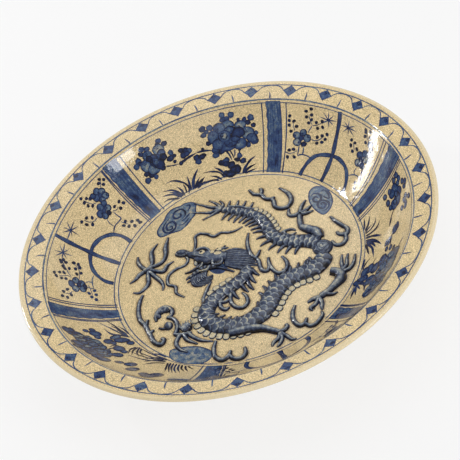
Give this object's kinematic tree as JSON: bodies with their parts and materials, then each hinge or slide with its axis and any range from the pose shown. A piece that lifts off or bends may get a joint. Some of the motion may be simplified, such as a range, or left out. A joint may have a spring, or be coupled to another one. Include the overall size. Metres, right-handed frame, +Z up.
{
  "type": "porcelain bowl",
  "caption": "Wide shallow footed bowl with a flat everted rim, crackled buff glaze, blue painted borders and a dragon in relief on its floor.",
  "frame": {"origin": "centre of the foot ring's standing face", "axes": "+Z up along the turned axis, +Y away from the side the dragon is seen from, +X to that viewer's right"},
  "size_m": [0.4, 0.4, 0.0775],
  "materials": {
    "crackle_glaze": "glossy, finely crackled",
    "cobalt_relief": "glossy over underglaze blue",
    "cream_relief": "glossy",
    "underglaze_blue": "glossy brushwork under the glaze",
    "biscuit": "unglazed, matt"
  },
  "bodies": {
    "root": {"bowl": "crackle_glaze", "foot_ring": "biscuit", "dragon_haunch": "cobalt_relief", "dragon_head": "cobalt_relief", "dragon_forebody": "cobalt_relief", "dragon_hindbody": "cobalt_relief", "dragon_mane": "cobalt_relief", "dragon_lower_jaw": "cobalt_relief", "dragon_beard": "cobalt_relief", "dragon_horn": "cream_relief", "dragon_fang": "cream_relief", "dragon_eye": "cream_relief", "upper_whisker": "cobalt_relief", "lower_whisker": "cobalt_relief", "dragon_forepaw": "cobalt_relief", "elbow_spike": "cobalt_relief", "lower_leg": "cobalt_relief", "hind_leg": "cobalt_relief", "hock_flames": "cobalt_relief", "upper_leg": "cobalt_relief", "thigh_wisps": "cobalt_relief", "shoulder_flame": "cobalt_relief", "tail_tuft": "cobalt_relief", "tail_crest": "cobalt_relief", "pearl_flame": "cobalt_relief", "left_scroll": "cobalt_relief", "fungus_stem": "cobalt_relief", "fungus_bud": "cobalt_relief", "lower_scroll": "cobalt_relief", "near_scroll": "cobalt_relief", "far_scroll": "cobalt_relief", "side_scroll": "cobalt_relief", "belly_plates_neck": "cream_relief", "belly_plates_loop": "cream_relief", "belly_plates_flank": "cream_relief", "belly_plates_tail": "cream_relief"}
  },
  "joints": []
}
